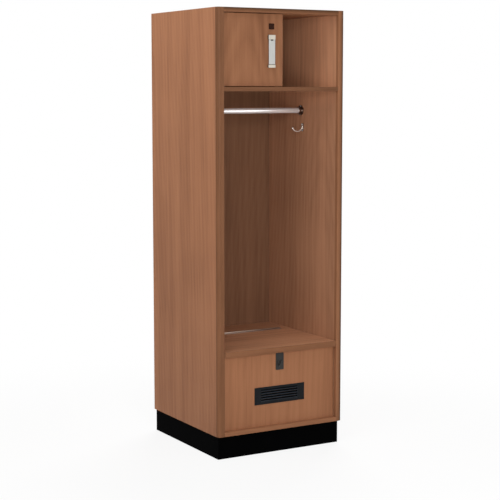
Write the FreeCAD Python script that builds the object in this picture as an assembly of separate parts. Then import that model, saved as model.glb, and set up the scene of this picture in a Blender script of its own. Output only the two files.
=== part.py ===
import FreeCAD, Part
import math
import os

# Open-front wooden locker on a plinth, with a small locking door, a hanging rod, a coat hook
# and a lift-up seat over a foot locker. Millimetres. X is the width, the front faces -Y and Z is up.
# The origin is on the floor, in the middle of the width and the depth.

# Overall size
WIDTH = 635.0
DEPTH = 625.0
CARCASS_HEIGHT = 1829.0
PLINTH_HEIGHT = 102.0
PLINTH_SIDE_INSET = 10.0
PLINTH_FRONT_INSET = 20.0
PLINTH_BOARD = 19.0

# Boards of the carcass
SIDE_BOARD = 32.0
CASE_BOARD = 19.0
SEAT_BOARD = 25.0
BACK_BOARD = 12.0
BACK_GROOVE = 8.0
BACK_FIT = 0.3
RAIL_BOARD = 25.0
RAIL_HEIGHT = 90.0
LIPPING_DEPTH = 18.0
NOSE_RADIUS = 16.0
EDGE_BAND = 2.0
EASE_RADIUS = 0.8
CLEAT = 22.0

# Layout
UPPER_CLEAR_HEIGHT = 311.0
DIVIDER_CENTRE = 2.0
SEAT_HEIGHT = 470.0
FRONT_RECESS = 19.0
REVEAL = 3.0
PANEL_FLOOR_GAP = 0.5
STOP_GAP = 2.0

# Dowels and wood screws
DOWEL_DIAMETER = 8.0
DOWEL_IN_FACE = 12.0
DOWEL_IN_END = 18.0
DOWEL_SETBACK = 60.0
DOWELS_PER_END = 3
DOWEL_FIT = 0.1
SCREW_SHANK = 3.5
SCREW_HEAD = 6.5
SCREW_HEAD_HEIGHT = 2.0
SCREW_FIT = 0.1
SHORT_SCREW = 16.0
CLEAT_SCREW = 36.0
BACK_SCREW = 40.0
RAIL_SCREW = 62.0
SCREW_END_SPACE = 60.0
SCREWS_PER_RAIL = 4
SCREWS_PER_CLEAT = 3
SCREWS_PER_UPRIGHT = 2

# Piano hinge of the seat
HINGE_SETBACK = 405.0
HINGE_END_SPACE = 50.0
KNUCKLES = 14
KNUCKLE_DIAMETER = 7.0
KNUCKLE_PLAY = 0.4
KNUCKLE_NECK_SHARE = 0.4
HINGE_PIN = 3.2
LEAF_THICKNESS = 1.5
LEAF_WIDTH = 17.0
LEAF_CLEARANCE = 0.5
LEAF_SCREWS = 6
BUTT_GAP = 4.0

# Fits of turning pieces
RUNNING_FIT = 0.05
SNUG_FIT = 0.02
LOOSE_FIT = 0.3

# Pivots of the small door
PIVOT_PIN = 6.0
PIVOT_FROM_EDGE = 8.0
PIVOT_FROM_FACE = 6.0
PIN_IN_DOOR = 20.0
PIN_IN_BUSH = 7.0
BUSH_DIAMETER = 10.0
BUSH_DEPTH = 9.0
BUSH_FLANGE = 13.0
BUMPER_DIAMETER = 8.0
BUMPER_FROM_END = 40.0

# Turning fittings: the door's cam lock and the seat's turn latch
BARREL_DIAMETER = 18.0
CORE_DIAMETER = 12.0
CORE_HEAD = 15.0
CORE_HEAD_DEPTH = 2.0
NUT_ACROSS_FLATS = 25.0
NUT_THICKNESS = 5.0
STUD = 6.0
CAM_SCREW = 3.0
CAM_SCREW_HEAD = 9.0
CAM_SCREW_HEAD_HEIGHT = 2.2
CAM_SCREW_CROWN = 6.0
CAM_SCREW_LENGTH = 10.0
CAM_WIDTH = 12.0
CAM_THICKNESS = 3.0

# Cam lock
LOCK_INSET = 56.5
LOCK_DROP = 53.0
LOCK_PLATE = 25.0
LOCK_PLATE_THICKNESS = 4.0
LOCK_CAM_SET = 8.0
LOCK_CAM_LENGTH = 26.0
KEY_SLOT_WIDTH = 1.6
KEY_SLOT_LENGTH = 8.0
KEY_SLOT_DEPTH = 3.0
STRIKE_SHEET = 2.0
STRIKE_REACH = 16.0
STRIKE_HEIGHT = 40.0
STRIKE_BASE = 22.0
STRIKE_SCREW_SETBACK = 13.0
STRIKE_SCREW_SPACING = 20.0

# Turn latch of the seat
LATCH_PLATE_WIDTH = 39.0
LATCH_PLATE_HEIGHT = 75.0
LATCH_PLATE_THICKNESS = 4.0
LATCH_PLATE_DROP = 4.0
LATCH_AXIS_RISE = 30.0
LATCH_CAM_SET = 17.0
LATCH_CAM_LENGTH = 34.0
PLATE_CORNER = 3.0
KNOB_DIAMETER = 28.0
KNOB_DISC = 3.0
FIN_THICKNESS = 6.0
FIN_LENGTH = 26.0
FIN_HEIGHT = 8.0
FIN_TILT = 30.0
PADLOCK_EYE = 5.0
SEAT_STRIKE_SHEET = 3.0
SEAT_STRIKE_PLAY = 3.0
SEAT_STRIKE_SIDE = 6.0
SEAT_STRIKE_WIDTH = 20.0
SEAT_STRIKE_LIP = 20.0
SEAT_STRIKE_FLANGE = 28.0
SEAT_STRIKE_SCREWS = (10.0, 22.0)

# Door pull
PULL_INSET = 59.5
PULL_DROP = 158.0
PULL_WIDTH = 33.0
PULL_HEIGHT = 138.0
PULL_REACH = 13.0
PULL_BAR = 4.0
PULL_FOOT = 14.0
PULL_SLOT_LENGTH = 14.0
PULL_SLOT_WIDTH = 5.0
PULL_SLOT_DROP = 22.0
PULL_GROOVE = 2.0
PULL_SCREW_BITE = 10.0

# Hanging rod
ROD_DIAMETER = 25.0
ROD_WALL = 1.5
ROD_SETBACK = 306.0
ROD_DROP = 87.0
ROD_FIT = 0.2
ROD_END_PLAY = 0.5
FLANGE_DIAMETER = 46.0
FLANGE_THICKNESS = 3.0
SOCKET_WALL = 2.3
SOCKET_LENGTH = 14.0
FLANGE_SCREW_RADIUS = 19.0

# Coat hook
HOOK_SETBACK = 290.0
HOOK_DROP = 164.0
HOOK_BASE_WIDTH = 16.0
HOOK_BASE_HEIGHT = 38.0
HOOK_BASE_THICKNESS = 3.0
HOOK_WIRE = 6.0
HOOK_BALL = 10.0
HOOK_REACH = 54.0
HOOK_SAG = 24.5
HOOK_TIP_DROP = 10.0
HOOK_ROOT_RISE = 6.0
HOOK_SCREW_RISE = 14.5

# Vent grille
VENT_WIDTH = 254.0
VENT_HEIGHT = 76.5
VENT_FLANGE = 2.5
VENT_ABOVE_MIDDLE = 13.5
VENT_WINDOW_WIDTH = 190.0
VENT_WINDOW_HEIGHT = 56.0
VENT_WALL = 2.0
VENT_SLEEVE = 15.0
VENT_FIT = 1.0
SLATS = 5
SLAT_DEPTH = 11.0
SLAT_THICKNESS = 1.6
SLAT_TILT = 38.0
VENT_SCREW_INSET = 12.0

# Places worked out from the sizes above
HALF = WIDTH / 2
INNER = HALF - SIDE_BOARD
FRONT = -DEPTH / 2
REAR = DEPTH / 2
TOP = PLINTH_HEIGHT + CARCASS_HEIGHT
BACK_FACE = REAR - RAIL_BOARD - BACK_BOARD
BACK_REAR = BACK_FACE + BACK_BOARD
TOP_UNDER = TOP - CASE_BOARD
SHELF_TOP = TOP_UNDER - UPPER_CLEAR_HEIGHT
SHELF_UNDER = SHELF_TOP - CASE_BOARD
FLOOR_TOP = PLINTH_HEIGHT + CASE_BOARD
SEAT_UNDER = SEAT_HEIGHT - SEAT_BOARD
PANEL_FACE = FRONT + FRONT_RECESS
PANEL_REAR = PANEL_FACE + CASE_BOARD
DIVIDER_LEFT = DIVIDER_CENTRE - CASE_BOARD / 2
DIVIDER_RIGHT = DIVIDER_CENTRE + CASE_BOARD / 2
DIVIDER_FRONT = PANEL_REAR + STOP_GAP
DOOR_LEFT = -INNER + REVEAL
DOOR_BOTTOM = SHELF_TOP + REVEAL
DOOR_TOP = TOP_UNDER - REVEAL
PIVOT_X = DOOR_LEFT + PIVOT_FROM_EDGE
PIVOT_Y = PANEL_FACE + PIVOT_FROM_FACE
PANEL_BOTTOM = FLOOR_TOP + PANEL_FLOOR_GAP
PANEL_TOP = SEAT_UNDER - REVEAL
HINGE_Y = FRONT + HINGE_SETBACK
KNUCKLE_RADIUS = KNUCKLE_DIAMETER / 2
HINGE_Z = SEAT_HEIGHT + KNUCKLE_RADIUS
HINGE_START = HINGE_END_SPACE - INNER
HINGE_LENGTH = -2 * HINGE_START
LOCK_X = DIVIDER_RIGHT - LOCK_INSET
LOCK_Z = DOOR_TOP - LOCK_DROP
PULL_X = DIVIDER_RIGHT - PULL_INSET
PULL_Z = DOOR_TOP - PULL_DROP
LATCH_TOP = SEAT_UNDER - LATCH_PLATE_DROP
LATCH_BOTTOM = LATCH_TOP - LATCH_PLATE_HEIGHT
LATCH_Z = LATCH_BOTTOM + LATCH_AXIS_RISE
LATCH_CAM_Y = PANEL_REAR + LATCH_CAM_SET
LOCK_CAM_Y = PANEL_REAR + LOCK_CAM_SET
ROD_Y = FRONT + ROD_SETBACK
ROD_Z = SHELF_UNDER - ROD_DROP
HOOK_Y = FRONT + HOOK_SETBACK
HOOK_Z = SHELF_UNDER - HOOK_DROP
VENT_Z = (PANEL_BOTTOM + LATCH_BOTTOM) / 2 + VENT_ABOVE_MIDDLE
VENT_BOTTOM = VENT_Z - VENT_HEIGHT / 2

RIGHT = FreeCAD.Vector(1, 0, 0)
LEFT = FreeCAD.Vector(-1, 0, 0)
BACKWARD = FreeCAD.Vector(0, 1, 0)
FORWARD = FreeCAD.Vector(0, -1, 0)
UP = FreeCAD.Vector(0, 0, 1)
DOWN = FreeCAD.Vector(0, 0, -1)

pieces = {}
cutters = {}


def at(x, y, z):
    return FreeCAD.Vector(x, y, z)


def add(node, *solids):
    pieces.setdefault(node, []).extend(solids)


def drill(nodes, tool):
    for node in nodes:
        cutters.setdefault(node, []).append(tool)


def block(x0, x1, y0, y1, z0, z1):
    return Part.makeBox(x1 - x0, y1 - y0, z1 - z0, at(x0, y0, z0))


def round_bar(diameter, length, start, direction):
    return Part.makeCylinder(diameter / 2, length, start, direction)


def ring(outer, inner, length, start, direction):
    return round_bar(outer, length, start, direction).cut(round_bar(inner, length, start, direction))


def spread(first, last, count):
    step = (last - first) / (count - 1)
    return [first + step * index for index in range(count)]


def joined(*solids):
    return solids[0].multiFuse(list(solids[1:])).removeSplitter()


def eased_front(board, depth):
    # Rounds the long edges of a band's front face; the radius stays inside the band.
    radius = min(EASE_RADIUS, depth / 2)
    front = board.BoundBox.YMin
    long_edges = [
        edge for edge in board.Edges
        if abs(edge.BoundBox.YMax - front) < 1e-6 and edge.BoundBox.XLength > edge.BoundBox.ZLength
    ]
    return board.makeFillet(radius, long_edges)


# Screws and dowels

def screw_form(seat, into, length, grow):
    # A countersunk screw whose head lies flush with the surface at its seat.
    head = Part.makeCone(SCREW_HEAD / 2 + grow, SCREW_SHANK / 2 + grow, SCREW_HEAD_HEIGHT, seat, into)
    shank = round_bar(SCREW_SHANK + 2 * grow, length - SCREW_HEAD_HEIGHT + grow,
                      seat + into * SCREW_HEAD_HEIGHT, into)
    return joined(head, shank)


def fasten(group, nodes, seat, into, length):
    add(group, screw_form(seat, into, length, 0))
    drill(nodes, screw_form(seat, into, length, SCREW_FIT))


def dowel(face_node, end_node, joint, into_end):
    # A dowel across a butt joint: short in the face of one board, longer in the end of the other.
    length = DOWEL_IN_FACE + DOWEL_IN_END
    start = joint - into_end * DOWEL_IN_FACE
    add("carcass_dowels", round_bar(DOWEL_DIAMETER, length, start, into_end))
    hole = round_bar(DOWEL_DIAMETER + 2 * DOWEL_FIT, length + 2 * DOWEL_FIT,
                     start - into_end * DOWEL_FIT, into_end)
    drill([face_node, end_node], hole)


# Carcass

def side_panel(name, sign):
    inner = sign * INNER
    outer = sign * HALF
    board = block(min(inner, outer), max(inner, outer),
                  FRONT + LIPPING_DEPTH, REAR, PLINTH_HEIGHT, TOP)
    groove_end = sign * (INNER + BACK_GROOVE)
    groove = block(min(inner, groove_end), max(inner, groove_end),
                   BACK_FACE, BACK_REAR + BACK_FIT, PLINTH_HEIGHT, TOP)
    add(name + "_side_panel", board.cut(groove))


def side_lipping(name, sign):
    # Solid-wood nosing with a quarter-round outer corner.
    inner = sign * INNER
    outer = sign * HALF
    rear = FRONT + LIPPING_DEPTH
    radius = min(NOSE_RADIUS, LIPPING_DEPTH, SIDE_BOARD)
    swing = radius * (1 - math.sqrt(0.5))
    z = PLINTH_HEIGHT
    round_start = at(outer - sign * radius, FRONT, z)
    round_middle = at(outer - sign * swing, FRONT + swing, z)
    round_end = at(outer, FRONT + radius, z)
    corners = [at(outer, rear, z), at(inner, rear, z), at(inner, FRONT, z), round_start]
    edges = [Part.LineSegment(start, end).toShape() for start, end in zip(corners, corners[1:])]
    edges.append(Part.Arc(round_start, round_middle, round_end).toShape())
    if rear - round_end.y > 1e-6:
        edges.append(Part.LineSegment(round_end, corners[0]).toShape())
    outline = Part.Face(Part.Wire(Part.__sortEdges__(edges)))
    add(name + "_lipping", outline.extrude(UP * CARCASS_HEIGHT))


def cross_board(name, band_name, bottom, top):
    add(name, block(-INNER, INNER, FRONT + EDGE_BAND, BACK_FACE, bottom, top))
    band = block(-INNER, INNER, FRONT, FRONT + EDGE_BAND, bottom, top)
    add(band_name, eased_front(band, EDGE_BAND))
    for y in spread(FRONT + DOWEL_SETBACK, BACK_FACE - DOWEL_SETBACK, DOWELS_PER_END):
        middle = (bottom + top) / 2
        dowel("left_side_panel", name, at(-INNER, y, middle), RIGHT)
        dowel("right_side_panel", name, at(INNER, y, middle), LEFT)


def divider():
    add("divider", block(DIVIDER_LEFT, DIVIDER_RIGHT, DIVIDER_FRONT, BACK_FACE, SHELF_TOP, TOP_UNDER))
    for y in spread(DIVIDER_FRONT + DOWEL_SETBACK, BACK_FACE - DOWEL_SETBACK, DOWELS_PER_END):
        dowel("shelf", "divider", at(DIVIDER_CENTRE, y, SHELF_TOP), UP)
        dowel("top_panel", "divider", at(DIVIDER_CENTRE, y, TOP_UNDER), DOWN)


def back_panel():
    edge = INNER + BACK_GROOVE - BACK_FIT
    add("back_panel", block(-edge, edge, BACK_FACE, BACK_REAR, PLINTH_HEIGHT, TOP))
    rails = {
        "upper_back_rail": (TOP - RAIL_HEIGHT, "top_panel", TOP - CASE_BOARD / 2),
        "lower_back_rail": (PLINTH_HEIGHT, "bottom_panel", PLINTH_HEIGHT + CASE_BOARD / 2),
    }
    columns = spread(-INNER + SCREW_END_SPACE, INNER - SCREW_END_SPACE, SCREWS_PER_RAIL)
    for rail, (bottom, board, screw_z) in rails.items():
        add(rail, block(-INNER, INNER, BACK_REAR, REAR, bottom, bottom + RAIL_HEIGHT))
        for x in columns:
            fasten("back_screws", [rail, "back_panel", board], at(x, REAR, screw_z), FORWARD, RAIL_SCREW)
    for x in columns:
        seat = at(x, BACK_REAR, SHELF_TOP - CASE_BOARD / 2)
        fasten("back_screws", ["back_panel", "shelf"], seat, FORWARD, BACK_SCREW)


# Plinth

def plinth():
    side = HALF - PLINTH_SIDE_INSET
    front = FRONT + PLINTH_FRONT_INSET
    inside_front = front + PLINTH_BOARD
    inside_rear = REAR - PLINTH_BOARD
    add("plinth_front", block(-side, side, front, inside_front, 0, PLINTH_HEIGHT))
    add("plinth_back", block(-side, side, inside_rear, REAR, 0, PLINTH_HEIGHT))
    add("plinth_left", block(-side, PLINTH_BOARD - side, inside_front, inside_rear, 0, PLINTH_HEIGHT))
    add("plinth_right", block(side - PLINTH_BOARD, side, inside_front, inside_rear, 0, PLINTH_HEIGHT))
    for x in spread(-INNER + SCREW_END_SPACE, INNER - SCREW_END_SPACE, SCREWS_PER_CLEAT):
        seat = at(x, inside_front - PLINTH_BOARD / 2, FLOOR_TOP)
        fasten("plinth_screws", ["bottom_panel", "plinth_front"], seat, DOWN, CLEAT_SCREW)


# Foot locker

def footlocker_front():
    width = INNER - REVEAL
    add("footlocker_front", block(-width, width, PANEL_FACE, PANEL_REAR, PANEL_BOTTOM, PANEL_TOP))


def cleats():
    cleat_under = SEAT_UNDER - CLEAT
    for name, sign in (("left", -1), ("right", 1)):
        wall = sign * INNER
        edge = sign * (INNER - CLEAT)
        middle = sign * (INNER - CLEAT / 2)
        low = min(wall, edge)
        high = max(wall, edge)
        outward = RIGHT * sign
        upright = name + "_upright_cleat"
        runner = name + "_seat_cleat"
        side = name + "_side_panel"
        add(upright, block(low, high, PANEL_REAR, PANEL_REAR + CLEAT, FLOOR_TOP, cleat_under))
        add(runner, block(low, high, PANEL_REAR, BACK_FACE, cleat_under, SEAT_UNDER))
        for z in spread(FLOOR_TOP + SCREW_END_SPACE, cleat_under - SCREW_END_SPACE, SCREWS_PER_UPRIGHT):
            fasten("cleat_screws", [upright, "footlocker_front"],
                   at(middle, PANEL_REAR + CLEAT, z), FORWARD, CLEAT_SCREW)
            fasten("cleat_screws", [upright, side],
                   at(edge, PANEL_REAR + CLEAT / 2, z + CLEAT), outward, CLEAT_SCREW)
        for y in spread(PANEL_REAR + SCREW_END_SPACE, BACK_FACE - SCREW_END_SPACE, SCREWS_PER_CLEAT):
            fasten("cleat_screws", [runner, side],
                   at(edge, y, SEAT_UNDER - CLEAT / 2), outward, CLEAT_SCREW)
        strip_y = (HINGE_Y + BACK_FACE) / 2
        fasten("cleat_screws", [runner, "rear_seat_strip"],
               at(middle, strip_y, cleat_under), UP, CLEAT_SCREW)
    cleat_end = INNER - CLEAT
    rear_cleat = block(-cleat_end, cleat_end, BACK_FACE - CLEAT, BACK_FACE, cleat_under, SEAT_UNDER)
    add("rear_seat_cleat", rear_cleat)
    for x in spread(-INNER + SCREW_END_SPACE, INNER - SCREW_END_SPACE, SCREWS_PER_CLEAT):
        fasten("cleat_screws", ["rear_seat_cleat", "rear_seat_strip"],
               at(x, BACK_FACE - CLEAT / 2, cleat_under), UP, CLEAT_SCREW)


def rear_seat_strip():
    front = HINGE_Y + BUTT_GAP / 2
    add("rear_seat_strip", block(-INNER, INNER, front, BACK_FACE, SEAT_UNDER, SEAT_HEIGHT))


def vent_grille():
    half_width = VENT_WINDOW_WIDTH / 2
    half_height = VENT_WINDOW_HEIGHT / 2
    sleeve_width = half_width + VENT_WALL
    sleeve_height = half_height + VENT_WALL
    front = PANEL_FACE - VENT_FLANGE
    sleeve_rear = PANEL_FACE + VENT_SLEEVE
    flange = block(-VENT_WIDTH / 2, VENT_WIDTH / 2, front, PANEL_FACE,
                   VENT_BOTTOM, VENT_BOTTOM + VENT_HEIGHT)
    sleeve = block(-sleeve_width, sleeve_width, PANEL_FACE, sleeve_rear,
                   VENT_Z - sleeve_height, VENT_Z + sleeve_height)
    window = block(-half_width, half_width, front, sleeve_rear,
                   VENT_Z - half_height, VENT_Z + half_height)
    slats = []
    pitch = VENT_WINDOW_HEIGHT / SLATS
    slat_y = front + SLAT_DEPTH / 2 + VENT_FLANGE / 2
    for index in range(SLATS):
        z = VENT_Z - half_height + pitch * (index + 0.5)
        slat = block(-half_width - VENT_WALL / 2, half_width + VENT_WALL / 2,
                     slat_y - SLAT_DEPTH / 2, slat_y + SLAT_DEPTH / 2,
                     z - SLAT_THICKNESS / 2, z + SLAT_THICKNESS / 2)
        slat.rotate(at(0, slat_y, z), RIGHT, SLAT_TILT)
        slats.append(slat)
    add("vent_grille", joined(joined(flange, sleeve).cut(window), *slats))
    opening = block(-sleeve_width - VENT_FIT, sleeve_width + VENT_FIT, PANEL_FACE, PANEL_REAR,
                    VENT_Z - sleeve_height - VENT_FIT, VENT_Z + sleeve_height + VENT_FIT)
    drill(["footlocker_front"], opening)
    for sign in (-1, 1):
        seat = at(sign * (VENT_WIDTH / 2 - VENT_SCREW_INSET), front, VENT_Z)
        fasten("hardware_screws", ["vent_grille", "footlocker_front"], seat, BACKWARD, SHORT_SCREW)


# Seat and its piano hinge

def seat_lid():
    width = INNER - REVEAL
    rear = HINGE_Y - BUTT_GAP / 2
    add("seat_lid", block(-width, width, FRONT + EDGE_BAND, rear, SEAT_UNDER, SEAT_HEIGHT))
    band = block(-width, width, FRONT, FRONT + EDGE_BAND, SEAT_UNDER, SEAT_HEIGHT)
    add("seat_edge_band", eased_front(band, EDGE_BAND))


def hinge_leaf(side, first_knuckle, bore):
    # One leaf lies flat on the seat; its knuckles alternate with the other leaf's round the pin.
    leaf_top = SEAT_HEIGHT + LEAF_THICKNESS
    root = HINGE_Y + side * (KNUCKLE_RADIUS + LEAF_CLEARANCE)
    edge = HINGE_Y + side * LEAF_WIDTH
    neck = HINGE_Y + side * KNUCKLE_RADIUS * KNUCKLE_NECK_SHARE
    plate = block(HINGE_START, HINGE_START + HINGE_LENGTH, min(root, edge), max(root, edge),
                  SEAT_HEIGHT, leaf_top)
    pitch = HINGE_LENGTH / KNUCKLES
    knuckles = []
    for index in range(first_knuckle, KNUCKLES, 2):
        start = HINGE_START + index * pitch + KNUCKLE_PLAY / 2
        end = start + pitch - KNUCKLE_PLAY
        knuckles.append(round_bar(KNUCKLE_DIAMETER, end - start, at(start, HINGE_Y, HINGE_Z), RIGHT))
        knuckles.append(block(start, end, min(root, neck), max(root, neck), SEAT_HEIGHT, leaf_top))
    pin_bore = round_bar(bore, HINGE_LENGTH, at(HINGE_START, HINGE_Y, HINGE_Z), RIGHT)
    return joined(plate, *knuckles).cut(pin_bore)


def piano_hinge():
    add("hinge_fixed_leaf", hinge_leaf(1, 0, HINGE_PIN + 2 * SNUG_FIT))
    add("hinge_moving_leaf", hinge_leaf(-1, 1, HINGE_PIN + 2 * RUNNING_FIT))
    add("hinge_pin", round_bar(HINGE_PIN, HINGE_LENGTH, at(HINGE_START, HINGE_Y, HINGE_Z), RIGHT))
    screw_line = (KNUCKLE_RADIUS + LEAF_CLEARANCE + LEAF_WIDTH) / 2
    seat_z = SEAT_HEIGHT + LEAF_THICKNESS
    margin = HINGE_LENGTH / KNUCKLES / 2
    for x in spread(HINGE_START + margin, HINGE_START + HINGE_LENGTH - margin, LEAF_SCREWS):
        fasten("hardware_screws", ["hinge_fixed_leaf", "rear_seat_strip"],
               at(x, HINGE_Y + screw_line, seat_z), DOWN, SHORT_SCREW)
        fasten("seat_screws", ["hinge_moving_leaf", "seat_lid"],
               at(x, HINGE_Y - screw_line, seat_z), DOWN, SHORT_SCREW)


def seat_strike():
    # Bent steel strap under the lid; its lip lies below the latch cam when the cam is turned across.
    front = LATCH_CAM_Y - (SEAT_STRIKE_WIDTH - CAM_THICKNESS) / 2 + SEAT_STRIKE_SIDE
    rear = front + SEAT_STRIKE_WIDTH
    web = LATCH_CAM_LENGTH + SEAT_STRIKE_SIDE
    lip_top = LATCH_Z - CAM_WIDTH / 2 - SEAT_STRIKE_PLAY
    sheet = SEAT_STRIKE_SHEET
    flange = block(web, web + SEAT_STRIKE_FLANGE, front, rear, SEAT_UNDER - sheet, SEAT_UNDER)
    leg = block(web, web + sheet, front, rear, lip_top - sheet, SEAT_UNDER)
    lip = block(web - SEAT_STRIKE_LIP, web + sheet, front, rear, lip_top - sheet, lip_top)
    add("seat_strike", joined(flange, leg, lip))
    for offset in SEAT_STRIKE_SCREWS:
        seat = at(web + offset, (front + rear) / 2, SEAT_UNDER - sheet)
        fasten("seat_screws", ["seat_strike", "seat_lid"], seat, UP, SHORT_SCREW)


# Turning fittings

def fitting_body(x, z, plate, face, plate_thickness, barrel_end):
    # A face plate with a threaded barrel behind it, bored for the turning core.
    barrel = round_bar(BARREL_DIAMETER, barrel_end - face, at(x, face, z), BACKWARD)
    core_bore = round_bar(CORE_DIAMETER + 2 * RUNNING_FIT, barrel_end - face + plate_thickness,
                          at(x, face - plate_thickness, z), BACKWARD)
    return joined(plate, barrel).cut(core_bore)


def corner_plate(x0, x1, y0, y1, z0, z1):
    plate = block(x0, x1, y0, y1, z0, z1)
    corners = [edge for edge in plate.Edges if edge.BoundBox.YLength > 1e-6]
    return plate.makeFillet(PLATE_CORNER, corners)


def hex_nut(x, z, y):
    radius = NUT_ACROSS_FLATS / math.sqrt(3)
    turns = [step * math.pi / 3 for step in range(7)]
    corners = [at(x + radius * math.cos(turn), y, z + radius * math.sin(turn)) for turn in turns]
    nut = Part.Face(Part.makePolygon(corners)).extrude(BACKWARD * NUT_THICKNESS)
    return nut.cut(round_bar(BARREL_DIAMETER + 2 * SNUG_FIT, NUT_THICKNESS, at(x, y, z), BACKWARD))


def square_stud(x, z, y, size, length):
    return block(x - size / 2, x + size / 2, y, y + length, z - size / 2, z + size / 2)


def turning_core(x, z, front, cam_y):
    # A round core whose square stud carries the cam, tapped for the cam screw.
    core = round_bar(CORE_DIAMETER, cam_y - front, at(x, front, z), BACKWARD)
    stud = square_stud(x, z, cam_y, STUD, CAM_THICKNESS)
    tapped = round_bar(CAM_SCREW + 2 * SNUG_FIT, CAM_SCREW_LENGTH,
                       at(x, cam_y + CAM_THICKNESS, z), FORWARD)
    return joined(core, stud).cut(tapped)


def upright_cam(x, z, y, length):
    body = joined(
        block(x - CAM_WIDTH / 2, x + CAM_WIDTH / 2, y, y + CAM_THICKNESS, z, z + length - CAM_WIDTH / 2),
        round_bar(CAM_WIDTH, CAM_THICKNESS, at(x, y, z + length - CAM_WIDTH / 2), BACKWARD),
        round_bar(CAM_WIDTH, CAM_THICKNESS, at(x, y, z), BACKWARD),
    )
    return body.cut(square_stud(x, z, y, STUD + 2 * SNUG_FIT, CAM_THICKNESS))


def cam_screw(x, z, y):
    head = Part.makeCone(CAM_SCREW_HEAD / 2, CAM_SCREW_CROWN / 2, CAM_SCREW_HEAD_HEIGHT,
                         at(x, y, z), BACKWARD)
    return joined(head, round_bar(CAM_SCREW, CAM_SCREW_LENGTH - LOOSE_FIT, at(x, y, z), FORWARD))


def cam_lock():
    half = LOCK_PLATE / 2
    plate_front = PANEL_FACE - LOCK_PLATE_THICKNESS
    plate = corner_plate(LOCK_X - half, LOCK_X + half, plate_front, PANEL_FACE,
                         LOCK_Z - half, LOCK_Z + half)
    body = fitting_body(LOCK_X, LOCK_Z, plate, PANEL_FACE, LOCK_PLATE_THICKNESS, LOCK_CAM_Y - LOOSE_FIT)
    head_room = round_bar(CORE_HEAD + 2 * LOOSE_FIT, CORE_HEAD_DEPTH + LOOSE_FIT,
                          at(LOCK_X, plate_front, LOCK_Z), BACKWARD)
    add("lock_body", body.cut(head_room))
    add("lock_nut", hex_nut(LOCK_X, LOCK_Z, PANEL_REAR))
    drill(["security_door"], round_bar(BARREL_DIAMETER + 2 * LOOSE_FIT, CASE_BOARD,
                                       at(LOCK_X, PANEL_FACE, LOCK_Z), BACKWARD))
    core = turning_core(LOCK_X, LOCK_Z, plate_front, LOCK_CAM_Y)
    head = round_bar(CORE_HEAD, CORE_HEAD_DEPTH, at(LOCK_X, plate_front, LOCK_Z), BACKWARD)
    key_slot = block(LOCK_X - KEY_SLOT_WIDTH / 2, LOCK_X + KEY_SLOT_WIDTH / 2,
                     plate_front, plate_front + KEY_SLOT_DEPTH,
                     LOCK_Z - KEY_SLOT_LENGTH / 2, LOCK_Z + KEY_SLOT_LENGTH / 2)
    add("lock_cylinder", joined(core, head).cut(key_slot))
    add("lock_cam", upright_cam(LOCK_X, LOCK_Z, LOCK_CAM_Y, LOCK_CAM_LENGTH))
    add("lock_cam_screw", cam_screw(LOCK_X, LOCK_Z, LOCK_CAM_Y + CAM_THICKNESS))


def lock_strike():
    # Angle on the divider; its leg stands in front of the cam when the cam is turned across.
    leg_rear = LOCK_CAM_Y - LOOSE_FIT - STRIKE_SHEET / 2
    leg_front = leg_rear - STRIKE_SHEET
    wall = DIVIDER_LEFT - STRIKE_SHEET
    bottom = LOCK_Z - STRIKE_HEIGHT / 2
    top = LOCK_Z + STRIKE_HEIGHT / 2
    leg = block(DIVIDER_LEFT - STRIKE_REACH, DIVIDER_LEFT, leg_front, leg_rear, bottom, top)
    base = block(wall, DIVIDER_LEFT, leg_front, leg_front + STRIKE_BASE, bottom, top)
    add("lock_strike", joined(leg, base))
    for rise in (-STRIKE_SCREW_SPACING / 2, STRIKE_SCREW_SPACING / 2):
        seat = at(wall, leg_front + STRIKE_SCREW_SETBACK, LOCK_Z + rise)
        fasten("hardware_screws", ["lock_strike", "divider"], seat, RIGHT, SHORT_SCREW)


def turn_latch():
    half = LATCH_PLATE_WIDTH / 2
    plate_front = PANEL_FACE - LATCH_PLATE_THICKNESS
    plate = corner_plate(-half, half, plate_front, PANEL_FACE, LATCH_BOTTOM, LATCH_TOP)
    body = fitting_body(0, LATCH_Z, plate, PANEL_FACE, LATCH_PLATE_THICKNESS, LATCH_CAM_Y - LOOSE_FIT)
    add("latch_plate", body)
    add("latch_nut", hex_nut(0, LATCH_Z, PANEL_REAR))
    drill(["footlocker_front"], round_bar(BARREL_DIAMETER + 2 * LOOSE_FIT, CASE_BOARD,
                                          at(0, PANEL_FACE, LATCH_Z), BACKWARD))
    disc_rear = plate_front - LOOSE_FIT
    disc_front = disc_rear - KNOB_DISC
    core = turning_core(0, LATCH_Z, disc_front, LATCH_CAM_Y)
    disc = round_bar(KNOB_DIAMETER, KNOB_DISC, at(0, disc_front, LATCH_Z), BACKWARD)
    fin = block(-FIN_THICKNESS / 2, FIN_THICKNESS / 2, disc_front - FIN_HEIGHT, disc_front,
                LATCH_Z - FIN_LENGTH / 2, LATCH_Z + FIN_LENGTH / 2)
    eye_y = disc_front - FIN_HEIGHT / 2
    eye = round_bar(PADLOCK_EYE, FIN_THICKNESS, at(-FIN_THICKNESS / 2, eye_y, LATCH_Z), RIGHT)
    fin = fin.cut(eye)
    fin.rotate(at(0, disc_front, LATCH_Z), BACKWARD, FIN_TILT)
    add("latch_knob", joined(core, disc, fin))
    add("latch_cam", upright_cam(0, LATCH_Z, LATCH_CAM_Y, LATCH_CAM_LENGTH))
    add("latch_cam_screw", cam_screw(0, LATCH_Z, LATCH_CAM_Y + CAM_THICKNESS))


# Small door

def security_door():
    add("security_door", block(DOOR_LEFT, DIVIDER_RIGHT, PANEL_FACE, PANEL_REAR, DOOR_BOTTOM, DOOR_TOP))


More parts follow.
